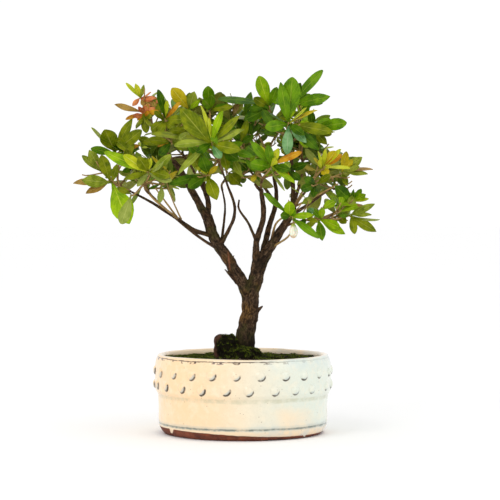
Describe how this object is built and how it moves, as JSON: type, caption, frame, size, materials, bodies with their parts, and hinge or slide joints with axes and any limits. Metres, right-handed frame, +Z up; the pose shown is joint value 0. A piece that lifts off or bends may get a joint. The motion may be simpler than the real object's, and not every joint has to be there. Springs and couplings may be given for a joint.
{
  "type": "potted azalea bonsai",
  "caption": "Azalea bonsai: leaning trunk, forked boughs and a wide open crown of whorled leaves, in a round glazed pot with studs below the rim.",
  "frame": {"origin": "centre of the pot's flat underside, on the surface that it stands on", "axes": "+Z up along the pot's axis, -Y towards the tree's front, +X to the right seen from the front"},
  "size_m": [0.2922, 0.2064, 0.342],
  "materials": {
    "glaze": "cream glaze with fine brown specks, bare red-brown clay at the foot",
    "soil": "dark crumbly potting soil",
    "moss": "low damp moss",
    "bark": "rough flaking brown bark",
    "foliage": "satin leaves, yellow-green to deep green, some orange and salmon young ones"
  },
  "bodies": {
    "root": {"pot": "glaze", "soil": "soil", "moss": "moss", "stump": "bark", "trunk": "bark", "left_main": "bark", "left_outer": "bark", "left_inner": "bark", "low_left": "bark", "low_left_back": "bark", "left_twig": "bark", "middle_twig": "bark", "middle_shoot": "bark", "right_main": "bark", "right_inner": "bark", "bare_twig": "bark", "right_middle": "bark", "right_outer": "bark", "right_rise": "bark", "right_spread": "bark", "right_young": "bark", "right_side": "bark", "right_low": "bark", "front_twig": "bark", "back_left": "bark", "back_middle": "bark", "back_right": "bark", "foliage_far_left": "foliage", "foliage_low_left": "foliage", "foliage_low_back": "foliage", "foliage_upper_left": "foliage", "foliage_top_middle": "foliage", "foliage_inner": "foliage", "foliage_front": "foliage", "foliage_middle": "foliage", "foliage_centre_back": "foliage", "foliage_top_right": "foliage", "foliage_right": "foliage", "foliage_right_back": "foliage", "foliage_far_right": "foliage", "foliage_low_front": "foliage", "foliage_back_left": "foliage", "foliage_back_middle": "foliage", "foliage_back_right": "foliage"}
  },
  "joints": []
}
